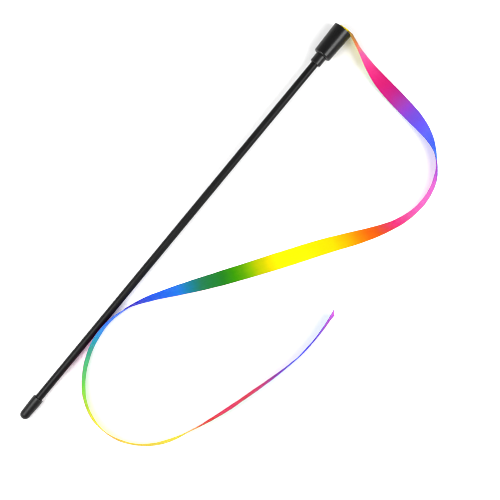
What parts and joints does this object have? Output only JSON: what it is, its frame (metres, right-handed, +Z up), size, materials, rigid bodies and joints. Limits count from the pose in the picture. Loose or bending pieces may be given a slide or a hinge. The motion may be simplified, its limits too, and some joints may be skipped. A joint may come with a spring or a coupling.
{
  "type": "rhythmic ribbon wand",
  "caption": "Ribbon wand: a slim black stick with a push-on handle cap and a turning head that holds a two-faced rainbow satin ribbon, laid down in open curves.",
  "frame": {"origin": "centre of the whole object's footprint, on the surface it lies on", "axes": "+X along the wand from the handle end towards the head, +Y away from the ribbon's side, +Z up"},
  "size_m": [0.3256, 0.12, 0.0132],
  "materials": {
    "rod_plastic": "satin black plastic",
    "cap_vinyl": "matte black soft vinyl",
    "head_plastic": "satin black moulded plastic",
    "plug_plastic": "matte dark grey moulded plastic",
    "zinc_steel": "zinc plated",
    "ribbon_satin": "printed satin in rainbow colours on both faces"
  },
  "bodies": {
    "handle": {"rod": "rod_plastic", "handle_cap": "cap_vinyl", "swivel_collar": "head_plastic", "retaining_washer": "zinc_steel", "retaining_screw": "zinc_steel"},
    "head": {"swivel_barrel": "head_plastic", "ribbon_plug": "plug_plastic", "ribbon": "ribbon_satin"}
  },
  "joints": [
    {"name": "head_swivel", "type": "hinge", "parent": "handle", "child": "head", "pos_m": [0.1411, 0.05344, 0.00644], "axis": [-1, 0, -0.01], "continuous": true}
  ]
}
